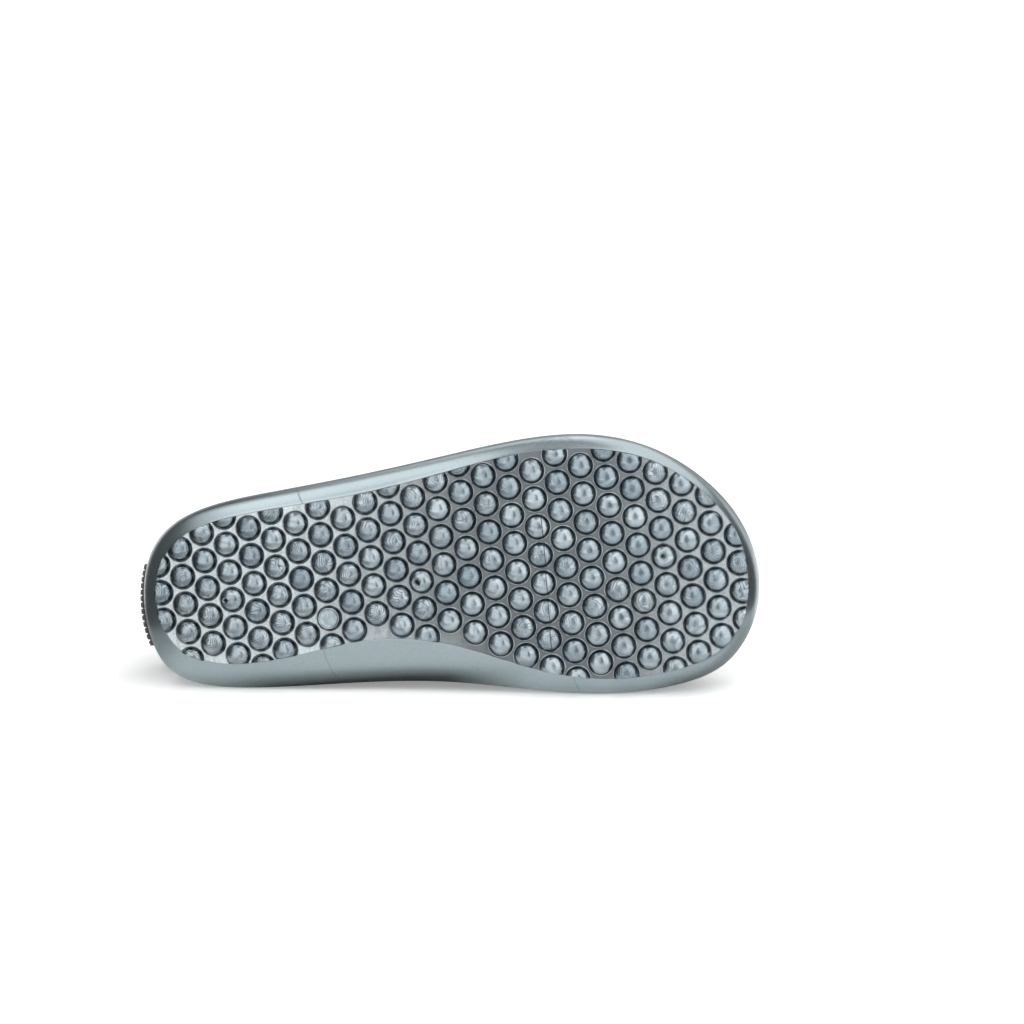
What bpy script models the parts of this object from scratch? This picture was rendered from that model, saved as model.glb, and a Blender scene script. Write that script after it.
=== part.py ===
"""A child's knitted barefoot shoe, for the right foot, lying on its inner side."""

import math
from collections import namedtuple

import bmesh
import bpy
import numpy as np
from mathutils import Matrix, Vector

for leftover in list(bpy.data.objects):
    bpy.data.objects.remove(leftover)

MM = 0.001

# Sizes in millimetres. In the foot frame X runs from heel to toe, Y to the inner side, Z up.
SOLE_LENGTH = 190.0
TREAD_HEEL = 6.1
TREAD_TOE = 187.0
SPRING_START = 116.0
SPRING_RISE = 7.9
BASE_THICK = 4.0
SIDEWALL_THICK = 2.8
RIM_THICK = 1.9
RIM_LEAN = 0.9
RIM_ROUND = 0.6
WALL_EARLY = 0.3
CUP_FLOOR = 0.1
CUP_OVER = 1.5
NUB_PITCH = 8.53
NUB_RADIUS = 3.78
NUB_HEIGHT = 2.8
NUB_FLAT = 0.866
NUB_SIDES = 8
NUB_BANDS = 6
NUB_SINK = 0.8
NUB_SEAT = 0.12
NUB_LEAST = 1.24
NUB_START = (66.7, -3.3)
LATTICE_COLUMNS = range(-12, 20)
LATTICE_ROWS = range(-20, 20)
# Places of the lattice, by column and row from its start, with no nub or with a flat one.
NO_NUBS = {(0, -3), (1, 2), (4, 1), (5, 1)}
FLAT_NUB = (-1, 2)
FLAT_NUB_HEIGHT = 2.0
EDGE_CLEAR = 0.25
FENCE_LOW, FENCE_HIGH = -9.0, 14.0
GAP = 0.3
UPPER_WALL = 1.8
HEM_HEIGHT = 0.17
HEM_THICK = 0.7
COLLAR_CENTRE = (45.0, 0.5)
COLLAR_LENGTH = 76.0
COLLAR_WIDTH = 47.0
COLLAR_BACK = 58.0
COLLAR_SIDE = 47.0
COLLAR_FRONT = 60.0
COLLAR_CROWD = 0.5
COLLAR_SWEEP = 2.5
INSOLE_THICK = 2.2
INSOLE_CLEAR = 0.6
TAB_RIBS = 13
TAB_PITCH = 1.9
TAB_THICK = 1.7
TAB_RIB = 1.0
TAB_LEVEL = 0.3
TAB_SEARCH = 0.7
# Levels of the upper's rings inside the cup, then between rim and hem, which the heel tab shares.
LASTED_LEVELS = (0.15, 0.55, 1.0, 2.0)
SHELL_LEVELS = (0.10, 0.22, 0.36, 0.50, 0.66)
REST_FLAT = 0.35
SIDEWAYS = 0.85
STEPS = 48
FLOOR_SLAB = (400.0, 400.0, 100.0)

# One row for each section, in equal steps of 15 degrees of the outline from the heel to the toe.
# Columns ending in _out are on the outer side of the foot, and _in on the inner side.
# tread and wall: half-widths of the tread and of the widest line. wall_up and rim_up: heights.
# The upper leaves the rim with rise and bulge, and comes to the collar with reach and drop.
Section = namedtuple(
    "Section",
    "place tread_out tread_in wall_out wall_in wall_up rim_up rise bulge_out bulge_in reach drop",
)
SECTIONS = [
    Section("heel back", -1.0, -1.0, 1.5, 1.5, 8.5, 18.5, 14, 18.2, 18.2, 0.00, 16),
    Section("heel cup", -12.8, 11.5, -14.5, 17.4, 8.5, 17.8, 14, 14.2, 16.5, 0.00, 16),
    Section("heel", -20.8, 18.5, -24.3, 25.5, 8.2, 16.0, 13, 7.0, 6.0, 0.03, 14),
    Section("heel front", -24.3, 20.9, -28.9, 28.8, 7.8, 14.2, 12, 3.0, 2.5, 0.08, 12),
    Section("waist back", -25.8, 19.4, -30.9, 30.0, 7.5, 13.2, 12, 2.5, 4.0, 0.18, 11),
    Section("waist", -27.4, 17.3, -32.9, 30.9, 7.4, 13.0, 11, 2.5, 7.0, 0.30, 11),
    Section("waist front", -30.7, 21.4, -35.7, 33.3, 7.4, 13.0, 9, 2.5, 8.0, 0.38, 11),
    Section("ball back", -34.2, 30.6, -38.5, 38.0, 7.6, 13.0, 8, 2.5, 6.0, 0.42, 12),
    Section("ball", -34.0, 35.9, -38.2, 41.2, 7.8, 13.2, 8, 2.5, 2.5, 0.44, 13),
    Section("toe joints", -29.0, 35.6, -31.8, 40.6, 8.0, 14.2, 10, 2.0, 2.0, 0.46, 12),
    Section("toes", -18.7, 31.8, -20.0, 35.8, 8.4, 16.0, 12, 1.5, 1.5, 0.47, 11),
    Section("toe front", -6.0, 22.6, -5.6, 24.4, 8.8, 17.6, 14, 1.2, 1.2, 0.48, 11),
    Section("toe tip", 8.3, 8.3, 10.0, 10.0, 9.0, 18.2, 14.5, 1.2, 1.2, 0.48, 11),
]


def spline(samples, at):
    """A smooth closed curve through equally spaced samples, read at positions in samples."""
    count = len(samples)
    eye = np.eye(count)
    spread = 4 * eye + np.roll(eye, 1, 0) + np.roll(eye, -1, 0)
    slopes = np.linalg.solve(spread, 3 * (np.roll(samples, -1) - np.roll(samples, 1)))
    low = np.floor(at).astype(int)
    t = at - low
    a, b = low % count, (low + 1) % count
    return (
        (1 + 2 * t) * (1 - t) ** 2 * samples[a]
        + t * (1 - t) ** 2 * slopes[a]
        + t * t * (3 - 2 * t) * samples[b]
        + t * t * (t - 1) * slopes[b]
    )


def column(turn, outer, inner=None):
    """A table column round the whole outline: down the outer side, then back up the inner one."""
    out_side = [getattr(row, outer) for row in SECTIONS]
    in_side = [getattr(row, inner or outer) for row in SECTIONS[-2:0:-1]]
    samples = np.array(out_side + in_side, float)
    return spline(samples, turn * len(samples) / (2 * math.pi))


def spring(x):
    ahead = np.maximum(x - SPRING_START, 0) / (SOLE_LENGTH - SPRING_START)
    return SPRING_RISE * ahead**2


def outline(turn, heel, toe, outer, inner):
    x = heel + (toe - heel) * (1 - np.cos(turn)) / 2
    return np.stack([x, column(turn, outer, inner)], -1)


def tread_edge(turn):
    return outline(turn, TREAD_HEEL, TREAD_TOE, "tread_out", "tread_in")


def wall_edge(turn):
    return outline(turn, 0.0, SOLE_LENGTH, "wall_out", "wall_in")


def outward(turn):
    """Unit direction away from the foot, square to the widest line."""
    along = wall_edge(turn + 0.02) - wall_edge(turn - 0.02)
    away = np.stack([along[:, 1], -along[:, 0]], -1)
    return away / np.linalg.norm(away, axis=1, keepdims=True)


def raised(plan, up):
    return np.column_stack([plan, spring(plan[:, 0]) + up])


def swell(t, early):
    """Across and up shares of a quarter-round that ends upright."""
    return 2 * t * (1 - t) + t * t, 2 * t * (1 - t) * early + t * t


def sidewall(turn, t):
    """Outer face of the sole: 0 at the tread, 1 at the widest line, 2 at the rim."""
    tread, wall = tread_edge(turn), wall_edge(turn)
    wall_up, rim_up = column(turn, "wall_up"), column(turn, "rim_up")
    if t <= 1:
        across, up = swell(t, WALL_EARLY)
        return raised(tread + (wall - tread) * across, wall_up * up)
    lean = RIM_LEAN * (t - 1) ** 2
    return raised(wall - outward(turn) * lean, wall_up + (rim_up - wall_up) * (t - 1))


def cup(turn, t, inset):
    """Inner face of the sole, or a face set in from it: 0 at the floor, 1 at the wall, 2 at the rim."""
    tread, wall = tread_edge(turn), wall_edge(turn)
    away = outward(turn)
    wall_up, rim_up = column(turn, "wall_up") + CUP_OVER, column(turn, "rim_up")
    floor = tread + (wall - tread) * CUP_FLOOR - away * inset
    side = wall - away * (SIDEWALL_THICK + inset)
    if t <= 1:
        across, up = swell(t, WALL_EARLY)
        base = BASE_THICK + inset
        return raised(floor + (side - floor) * across, base + (wall_up - base) * up)
    rim = wall - away * (RIM_LEAN + RIM_THICK + inset)
    return raised(side + (rim - side) * (t - 1), wall_up + (rim_up - wall_up) * (t - 1))


def collar(turn):
    ahead = turn + COLLAR_CROWD * np.sin(turn)
    back, front = (1 + np.cos(ahead)) / 2, (1 - np.cos(ahead)) / 2
    up = COLLAR_SIDE + (COLLAR_BACK - COLLAR_SIDE) * back**COLLAR_SWEEP
    up += (COLLAR_FRONT - COLLAR_SIDE) * front**COLLAR_SWEEP
    x = COLLAR_CENTRE[0] - COLLAR_LENGTH / 2 * np.cos(ahead)
    y = COLLAR_CENTRE[1] - COLLAR_WIDTH / 2 * np.sin(ahead)
    return np.column_stack([x, y, up])


def shell(turn, t):
    """Outer face of the upper above the rim: 0 at the rim, 1 at the collar."""
    start, end = cup(turn, 2.0, GAP), collar(turn)
    up = np.array([0.0, 0.0, 1.0])
    away = np.column_stack([outward(turn), np.zeros(len(turn))])
    bulge = column(turn, "bulge_out", "bulge_in")[:, None]
    rise, drop = column(turn, "rise")[:, None], column(turn, "drop")[:, None]
    toward = (start - end) * [1.0, 1.0, 0.0]
    leave = start + away * bulge + up * rise
    arrive = end + toward * column(turn, "reach")[:, None] - up * drop
    s = 1 - t
    return start * s**3 + leave * 3 * s * s * t + arrive * 3 * s * t * t + end * t**3


def normals(face, turn, t, step=0.01):
    """Unit normals of a face function, pointing out of the foot."""
    round_it = face(turn + step, t) - face(turn - step, t)
    up_it = face(turn, t + step) - face(turn, t - step)
    square = np.cross(round_it, up_it)
    return square / np.linalg.norm(square, axis=1, keepdims=True)


def mesh_object(name, bm, material, collection):
    bmesh.ops.recalc_face_normals(bm, faces=bm.faces[:])
    mesh = bpy.data.meshes.new(name)
    bm.to_mesh(mesh)
    bm.free()
    mesh.materials.append(material)
    made = bpy.data.objects.new(name, mesh)
    collection.objects.link(made)
    return made


def loft(bm, rings, closed=False):
    """Bands of faces between rings of points. Returns the rings' vertices."""
    rows = [[bm.verts.new(Vector(point) * MM) for point in ring] for ring in rings]
    pairs = list(zip(rows, rows[1:]))
    if closed:
        pairs.append((rows[-1], rows[0]))
    for low, high in pairs:
        for k in range(len(low)):
            n = (k + 1) % len(low)
            bm.faces.new([low[k], low[n], high[n], high[k]])
    return rows


def floor_over(bm, ring, flat_until):
    """Closes a ring whose halves mirror in X: one flat face to the spring, then strips to the toe."""
    half = len(ring) // 2
    flat = [k for k in range(half + 1) if ring[k].co.x <= flat_until * MM]
    last = flat[-1]
    bm.faces.new([ring[k] for k in flat] + [ring[-k] for k in reversed(flat) if k])
    for k in range(last, half - 1):
        bm.faces.new([ring[k], ring[k + 1], ring[-k - 1], ring[-k]])
    bm.faces.new([ring[half - 1], ring[half], ring[half + 1]])


def inside_by(points, edge):
    """Distance of each point inside a closed plan outline, negative outside it."""
    start, end = edge, np.roll(edge, -1, 0)
    run = end - start
    gone = points[:, None, :] - start
    share = np.clip((gone * run).sum(-1) / (run * run).sum(-1), 0, 1)
    far = np.linalg.norm(gone - run * share[..., None], axis=-1).min(1)
    crosses = (start[:, 1] > points[:, None, 1]) != (end[:, 1] > points[:, None, 1])
    rise = np.where(run[:, 1] == 0, 1, run[:, 1])
    at = start[:, 0] + run[:, 0] * (points[:, None, 1] - start[:, 1]) / rise
    within = (crosses & (points[:, None, 0] < at)).sum(1) % 2 == 1
    return np.where(within, far, -far)


def nub_places(edge):
    """Centres and heights of the nubs: the places of a hexagonal lattice that reach well over the tread."""
    across = NUB_PITCH * math.cos(math.radians(30))
    places, heights = [], []
    for j in LATTICE_COLUMNS:
        for i in LATTICE_ROWS:
            if (j, i) in NO_NUBS:
                continue
            places.append((NUB_START[0] + j * across, NUB_START[1] + (i + j / 2) * NUB_PITCH))
            heights.append(FLAT_NUB_HEIGHT if (j, i) == FLAT_NUB else NUB_HEIGHT)
    inside = inside_by(np.array(places), edge) > NUB_LEAST - NUB_RADIUS
    return [(*place, height) for place, height, kept in zip(places, heights, inside) if kept]


def add_nub(bm, x, y, height):
    """A low dome under the tread with a flat on top, sunk a little into the floor."""
    size = Matrix.Diagonal((NUB_RADIUS, NUB_RADIUS, NUB_HEIGHT / NUB_FLAT, 1))
    dome = bmesh.ops.create_uvsphere(bm, u_segments=NUB_SIDES, v_segments=NUB_BANDS, radius=1, matrix=size)
    for vert in dome["verts"]:
        vert.co.z = min(max(vert.co.z, -height), NUB_SINK)
    slope = float(spring(x + 0.5) - spring(x - 0.5))
    tilt = Matrix.Rotation(-math.atan(slope), 4, "Y")
    place = Matrix.Translation((x, y, float(spring(x)) + NUB_SEAT))
    bmesh.ops.transform(bm, matrix=Matrix.Scale(MM, 4) @ place @ tilt, verts=dome["verts"])


def boolean(target, operation, other):
    cut = target.modifiers.new(operation.lower(), "BOOLEAN")
    cut.operation = operation
    cut.solver = "EXACT"
    cut.object = other


def build_outsole(turn):
    away = np.column_stack([outward(turn), np.zeros(STEPS)])
    rim = sidewall(turn, 2.0)
    rings = [sidewall(turn, t) for t in (0, 0.35, 0.7, 1, 1.5)]
    rings += [rim - [0, 0, RIM_ROUND], rim - away * RIM_ROUND, cup(turn, 2.0, 0) - [0, 0, RIM_ROUND / 3]]
    rings += [cup(turn, t, 0) for t in (1, 0.55, 0.15, 0)]
    bm = bmesh.new()
    rows = loft(bm, rings)
    floor_over(bm, rows[0], SPRING_START)
    floor_over(bm, rows[-1], SPRING_START)
    outsole = mesh_object("outsole", bm, RUBBER, SHOE)

    edge = tread_edge(turn) - outward(turn) * EDGE_CLEAR
    bm = bmesh.new()
    for x, y, height in nub_places(edge):
        add_nub(bm, x, y, height)
    nubs = mesh_object("nub_field", bm, RUBBER, HELPERS)

    bm = bmesh.new()
    rows = loft(bm, [np.insert(edge, 2, up, axis=1) for up in (FENCE_LOW, FENCE_HIGH)])
    for row in rows:
        bm.faces.new(row)
    fence = mesh_object("tread_fence", bm, RUBBER, HELPERS)
    boolean(nubs, "INTERSECT", fence)
    boolean(outsole, "UNION", nubs)
    return [outsole, nubs, fence]


def build_upper(turn):
    """The knitted shell: up inside the cup, over the foot and in to the collar, then back down inside."""
    outer, inner = [], []
    for t in LASTED_LEVELS:
        face = cup(turn, t, GAP)
        outer.append(face)
        inner.append(face - normals(lambda a, b: cup(a, b, GAP), turn, t) * UPPER_WALL)
    below_hem = 1 - HEM_HEIGHT
    for t in SHELL_LEVELS + (below_hem,):
        face = shell(turn, t)
        outer.append(face)
        inner.append(face - normals(shell, turn, t) * UPPER_WALL)
    for t in (below_hem, 1.0):
        outer.append(shell(turn, t) + normals(shell, turn, t) * HEM_THICK)
    inner.append(shell(turn, 1.0) - normals(shell, turn, 1.0) * UPPER_WALL)
    bm = bmesh.new()
    loft(bm, outer + inner[::-1], closed=True)
    return mesh_object("upper", bm, KNIT, SHOE)


def build_insole(turn):
    edge = GAP + UPPER_WALL + INSOLE_CLEAR
    low = cup(turn, 0, edge)
    low[:, 2] = spring(low[:, 0]) + BASE_THICK + GAP
    bm = bmesh.new()
    rows = loft(bm, [low, low + [0, 0, INSOLE_THICK]])
    for row in rows:
        floor_over(bm, row, SPRING_START)
    return mesh_object("insole", bm, LINING, SHOE)


def build_heel_tab():
    """Ribs run up the heel, laid on the upper's own surface."""
    heel = np.linspace(-TAB_SEARCH, TAB_SEARCH, 401)
    line = shell(heel, TAB_LEVEL)
    along = np.insert(np.cumsum(np.linalg.norm(np.diff(line, axis=0), axis=1)), 0, 0)
    middle = np.interp(0, heel, along)
    columns = 2 * TAB_RIBS + 1
    reach = (np.arange(columns) - TAB_RIBS) * TAB_PITCH / 2
    turn = np.interp(middle + reach, along, heel)
    high = (np.arange(columns) % 2)[:, None] * TAB_RIB
    outer, inner = [], []
    for t in SHELL_LEVELS:
        face, out = shell(turn, t), normals(shell, turn, t)
        outer.append(face + out * (GAP + TAB_THICK + high))
        inner.append(face + out * GAP)
    rings = [np.vstack([a, b[::-1]]) for a, b in zip(outer, inner)]
    bm = bmesh.new()
    rows = loft(bm, rings)
    for row in (rows[0], rows[-1]):
        for k in range(columns - 1):
            bm.faces.new([row[k], row[k + 1], row[-k - 2], row[-k - 1]])
    return mesh_object("heel_tab", bm, RIBBING, SHOE)


def lie_down(pieces):
    """Turns the shoe onto its inner side: the widest hull face on that side becomes the floor."""
    hull = bmesh.new()
    for piece in pieces:
        for vert in piece.data.vertices:
            hull.verts.new(vert.co)
    bmesh.ops.convex_hull(hull, input=hull.verts)
    side = [face for face in hull.faces if face.normal.y > SIDEWAYS]
    floor = max(side, key=lambda face: face.calc_area())
    down = floor.normal.copy()
    along = Vector((1, 0, 0))
    along = (along - down * along.dot(down)).normalized()
    hull.free()
    turn = Matrix((along, down.cross(along) * -1, -down)).to_4x4()
    lowest = min((turn @ vert.co).z for piece in pieces for vert in piece.data.vertices)
    return Matrix.Translation((0, 0, -lowest - REST_FLAT * MM)) @ turn


def centre(pieces):
    """Moves the shoe so that its box stands over the origin."""
    bpy.context.view_layer.update()
    graph = bpy.context.evaluated_depsgraph_get()
    points = []
    for piece in pieces:
        made = piece.evaluated_get(graph)
        points += [made.matrix_world @ vert.co for vert in made.data.vertices]
    points = np.array(points)
    middle = (points.min(0) + points.max(0)) / 2
    pose.location.x -= middle[0]
    pose.location.y -= middle[1]


def material(name, colour, roughness):
    made = bpy.data.materials.new(name)
    made.use_nodes = True
    shader = made.node_tree.nodes["Principled BSDF"]
    shader.inputs["Base Color"].default_value = (*colour, 1)
    shader.inputs["Roughness"].default_value = roughness
    return made


def new_collection(name):
    made = bpy.data.collections.new(name)
    bpy.context.scene.collection.children.link(made)
    return made


SHOE = new_collection("barefoot_shoe")
HELPERS = new_collection("helpers")
HELPERS.hide_render = True
RUBBER = material("rubber", (0.42, 0.46, 0.50), 0.4)
KNIT = material("knit", (0.05, 0.12, 0.06), 0.9)
LINING = material("lining", (0.12, 0.13, 0.14), 0.9)
RIBBING = material("ribbing", (0.05, 0.05, 0.055), 0.7)

round_turn = np.arange(STEPS) * 2 * math.pi / STEPS
sole_pieces = build_outsole(round_turn)
outsole = sole_pieces[0]
upper = build_upper(round_turn)
insole = build_insole(round_turn)
heel_tab = build_heel_tab()

pose = bpy.data.objects.new("pose", None)
SHOE.objects.link(pose)
pose.matrix_world = lie_down([outsole, upper, heel_tab])
for piece in sole_pieces + [upper, insole, heel_tab]:
    piece.parent = pose

slab = bmesh.new()
size = Matrix.Diagonal((*FLOOR_SLAB, 1))
below = Matrix.Scale(MM, 4) @ Matrix.Translation((0, 0, -FLOOR_SLAB[2] / 2)) @ size
bmesh.ops.create_cube(slab, size=1, matrix=below)
floor = mesh_object("floor_slab", slab, RUBBER, HELPERS)
for piece in (outsole, upper):
    boolean(piece, "DIFFERENCE", floor)
for helper in HELPERS.objects:
    helper.hide_render = True
    helper.display_type = "WIRE"
centre([outsole, upper, insole, heel_tab])
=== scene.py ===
import math
from collections import namedtuple

import bmesh
import bpy
import numpy as np
from mathutils import Matrix, Vector


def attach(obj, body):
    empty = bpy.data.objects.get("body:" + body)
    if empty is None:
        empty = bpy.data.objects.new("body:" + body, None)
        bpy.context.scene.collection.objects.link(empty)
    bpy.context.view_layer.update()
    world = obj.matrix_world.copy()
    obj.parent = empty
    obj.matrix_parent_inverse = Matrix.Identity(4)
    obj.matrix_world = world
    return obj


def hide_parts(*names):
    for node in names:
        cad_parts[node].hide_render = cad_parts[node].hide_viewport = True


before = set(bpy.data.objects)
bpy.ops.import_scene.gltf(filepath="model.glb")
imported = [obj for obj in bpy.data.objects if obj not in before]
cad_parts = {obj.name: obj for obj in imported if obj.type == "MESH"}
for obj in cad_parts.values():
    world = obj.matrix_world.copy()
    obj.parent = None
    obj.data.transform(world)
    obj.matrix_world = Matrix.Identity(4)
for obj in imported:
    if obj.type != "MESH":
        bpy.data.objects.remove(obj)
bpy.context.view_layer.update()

MM = 0.001
TURN = 2 * math.pi

# Sizes in millimetres, the same as the solids'. X runs from heel to toe, Y to the inner side, Z up.
# HEM_HEIGHT, HEM_STEP, HEM_TOP, TAB_FROM, TAB_TO and TAB_END are shares of the way from rim to collar.
SOLE_LENGTH = 190.0
TREAD_HEEL = 6.1
TREAD_TOE = 187.0
SPRING_START = 116.0
SPRING_RISE = 7.9
BASE_THICK = 4.0
SIDEWALL_THICK = 2.8
RIM_THICK = 1.9
RIM_LEAN = 0.9
WALL_EARLY = 0.3
CUP_FLOOR = 0.1
CUP_OVER = 1.5
NUB_PITCH = 8.53
NUB_RADIUS = 3.78
NUB_HEIGHT = 2.8
NUB_LEAST = 1.24
NUB_SQUARE = 0.84
NUB_START = (66.7, -3.3)
GAP = 0.3
UPPER_WALL = 1.8
HEM_HEIGHT = 0.17
HEM_THICK = 0.7
COLLAR_CENTRE = (45.0, 0.5)
COLLAR_LENGTH = 76.0
COLLAR_WIDTH = 47.0
COLLAR_BACK = 58.0
COLLAR_SIDE = 47.0
COLLAR_FRONT = 60.0
COLLAR_CROWD = 0.5
COLLAR_SWEEP = 2.5
INSOLE_THICK = 2.2
TAB_RIBS = 13
TAB_PITCH = 1.9
TAB_THICK = 1.7
TAB_RIB = 1.0
TAB_FROM, TAB_TO = 0.10, 0.66

# Fine relief that only the looks have, with its counts and steps.
LIP_STEP = 0.16
LIP_OUT = 0.12
LIP_DROP = 0.22
RIM_CROWN = 0.55
RIM_SINK = 0.6
TREAD_MARGIN = 0.1
BEAD_REACH = 0.45
PIT_DEPTH = 0.8
HEM_STEP = 0.012
HEM_TOP = 0.985
HEM_RIBS = 92
HEM_RIB_DEPTH = 0.22
WALES = 200
ROW_PITCH = 1.7
LASTED_IN = 4.0
LASTED_UP = 0.15
FOLD_STEP = 0.02
FOLD_REACH = 60
INSOLE_CLEAR = 0.6
INSOLE_DISH = 0.35
WEAVE_PITCH = 1.2
TAB_END = 0.03
NUB_SEED = 28

# Rings of the sole's skin: the lip at the tread, the widest line, and the step in V from ring to ring.
LIP_RING, WIDEST_RING = 3, 16
RING_V = 0.1

# Colours as linear red, green and blue.
NUB_DARK, NUB_PALE = (0.205, 0.248, 0.27), (0.362, 0.415, 0.44)
NUB_BLUE = (0.15, 0.195, 0.235)
NUB_LINE = (0.06, 0.078, 0.092)
# Painted highlight on the bead round each nub's foot, and near-black painted shade in slits, pits and low
# on each nub's side.
NUB_PAINTED_HIGHLIGHT = (0.62, 0.64, 0.66)
NUB_PAINTED_SHADE = (0.010, 0.012, 0.015)
TREAD_DARK, TREAD_PALE = (0.47, 0.522, 0.54), (0.69, 0.752, 0.772)
TREAD_DRAWN = (0.24, 0.26, 0.28)
TREAD_BALL = (0.085, 0.097, 0.103)
WALL_DARK, WALL_PALE = (0.277, 0.333, 0.351), (0.339, 0.397, 0.419)
WALL_SEAM = (0.12, 0.14, 0.16)
KNIT_PALE, KNIT_DARK = (0.045, 0.125, 0.055), (0.012, 0.036, 0.016)
INNER_PALE, INNER_DARK = (0.05, 0.085, 0.055), (0.018, 0.034, 0.02)
RIB_DARK, RIB_PALE = (0.028, 0.029, 0.031), (0.055, 0.056, 0.06)
LINING_DARK, LINING_PALE = (0.075, 0.08, 0.085), (0.16, 0.165, 0.17)
LINING_WORN = (0.11, 0.115, 0.12)
STAGE_DIM, STAGE_PALE = (0.90, 0.905, 0.905), (0.92, 0.925, 0.925)
SKY_BLUE = (0.75, 0.8, 0.85)

# Which way the floor lies in the foot's own frame, and where the foot's origin then is, in metres.
DOWN = Vector((-0.10714, 0.98535, 0.13270)).normalized()
SHIFT = Vector((-0.092027, -0.02678, 0.02628))
ON_FLOOR = 0.00003

Section = namedtuple(
    "Section",
    "place tread_out tread_in wall_out wall_in wall_up rim_up rise bulge_out bulge_in reach drop",
)
SECTIONS = [
    Section("heel back", -1.0, -1.0, 1.5, 1.5, 8.5, 18.5, 14, 18.2, 18.2, 0.00, 16),
    Section("heel cup", -12.8, 11.5, -14.5, 17.4, 8.5, 17.8, 14, 14.2, 16.5, 0.00, 16),
    Section("heel", -20.8, 18.5, -24.3, 25.5, 8.2, 16.0, 13, 7.0, 6.0, 0.03, 14),
    Section("heel front", -24.3, 20.9, -28.9, 28.8, 7.8, 14.2, 12, 3.0, 2.5, 0.08, 12),
    Section("waist back", -25.8, 19.4, -30.9, 30.0, 7.5, 13.2, 12, 2.5, 4.0, 0.18, 11),
    Section("waist", -27.4, 17.3, -32.9, 30.9, 7.4, 13.0, 11, 2.5, 7.0, 0.30, 11),
    Section("waist front", -30.7, 21.4, -35.7, 33.3, 7.4, 13.0, 9, 2.5, 8.0, 0.38, 11),
    Section("ball back", -34.2, 30.6, -38.5, 38.0, 7.6, 13.0, 8, 2.5, 6.0, 0.42, 12),
    Section("ball", -34.0, 35.9, -38.2, 41.2, 7.8, 13.2, 8, 2.5, 2.5, 0.44, 13),
    Section("toe joints", -29.0, 35.6, -31.8, 40.6, 8.0, 14.2, 10, 2.0, 2.0, 0.46, 12),
    Section("toes", -18.7, 31.8, -20.0, 35.8, 8.4, 16.0, 12, 1.5, 1.5, 0.47, 11),
    Section("toe front", -6.0, 22.6, -5.6, 24.4, 8.8, 17.6, 14, 1.2, 1.2, 0.48, 11),
    Section("toe tip", 8.3, 8.3, 10.0, 10.0, 9.0, 18.2, 14.5, 1.2, 1.2, 0.48, 11),
]


# Form


def spline(samples, at):
    """A smooth closed curve through equally spaced samples, read at positions in samples."""
    count = len(samples)
    eye = np.eye(count)
    spread = 4 * eye + np.roll(eye, 1, 0) + np.roll(eye, -1, 0)
    slopes = np.linalg.solve(spread, 3 * (np.roll(samples, -1) - np.roll(samples, 1)))
    low = np.floor(at).astype(int)
    t = at - low
    a, b = low % count, (low + 1) % count
    return (
        (1 + 2 * t) * (1 - t) ** 2 * samples[a]
        + t * (1 - t) ** 2 * slopes[a]
        + t * t * (3 - 2 * t) * samples[b]
        + t * t * (t - 1) * slopes[b]
    )


def column(turn, outer, inner=None):
    """A table column round the whole outline: down the outer side, then back up the inner one."""
    out_side = [getattr(row, outer) for row in SECTIONS]
    in_side = [getattr(row, inner or outer) for row in SECTIONS[-2:0:-1]]
    samples = np.array(out_side + in_side, float)
    return spline(samples, turn * len(samples) / TURN)


def spring(x):
    """How far the toe spring lifts the sole."""
    ahead = np.maximum(x - SPRING_START, 0) / (SOLE_LENGTH - SPRING_START)
    return SPRING_RISE * ahead**2


def outline(turn, heel, toe, outer, inner):
    """A closed line in plan, from heel to toe, through two columns of the table."""
    x = heel + (toe - heel) * (1 - np.cos(turn)) / 2
    return np.stack([x, column(turn, outer, inner)], -1)


def tread_edge(turn):
    return outline(turn, TREAD_HEEL, TREAD_TOE, "tread_out", "tread_in")


def wall_edge(turn):
    return outline(turn, 0.0, SOLE_LENGTH, "wall_out", "wall_in")


def outward(turn):
    """Unit direction away from the foot, square to the widest line."""
    along = wall_edge(turn + 0.02) - wall_edge(turn - 0.02)
    away = np.stack([along[:, 1], -along[:, 0]], -1)
    return away / np.linalg.norm(away, axis=1, keepdims=True)


def raised(plan, up):
    return np.column_stack([plan, spring(plan[:, 0]) + up])


def swell(t, early):
    """Across and up shares of a quarter-round that ends upright."""
    return 2 * t * (1 - t) + t * t, 2 * t * (1 - t) * early + t * t


def sidewall(turn, t):
    """Outer face of the sole: 0 at the tread, 1 at the widest line, 2 at the rim."""
    tread, wall = tread_edge(turn), wall_edge(turn)
    wall_up, rim_up = column(turn, "wall_up"), column(turn, "rim_up")
    if t <= 1:
        across, up = swell(t, WALL_EARLY)
        return raised(tread + (wall - tread) * across, wall_up * up)
    lean = RIM_LEAN * (t - 1) ** 2
    return raised(wall - outward(turn) * lean, wall_up + (rim_up - wall_up) * (t - 1))


def cup(turn, t, inset):
    """Inner face of the sole, or a face set in from it: 0 at the floor, 1 at the wall, 2 at the rim."""
    tread, wall = tread_edge(turn), wall_edge(turn)
    away = outward(turn)
    wall_up, rim_up = column(turn, "wall_up") + CUP_OVER, column(turn, "rim_up")
    floor = tread + (wall - tread) * CUP_FLOOR - away * inset
    side = wall - away * (SIDEWALL_THICK + inset)
    if t <= 1:
        across, up = swell(t, WALL_EARLY)
        base = BASE_THICK + inset
        return raised(floor + (side - floor) * across, base + (wall_up - base) * up)
    rim = wall - away * (RIM_LEAN + RIM_THICK + inset)
    return raised(side + (rim - side) * (t - 1), wall_up + (rim_up - wall_up) * (t - 1))


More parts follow.
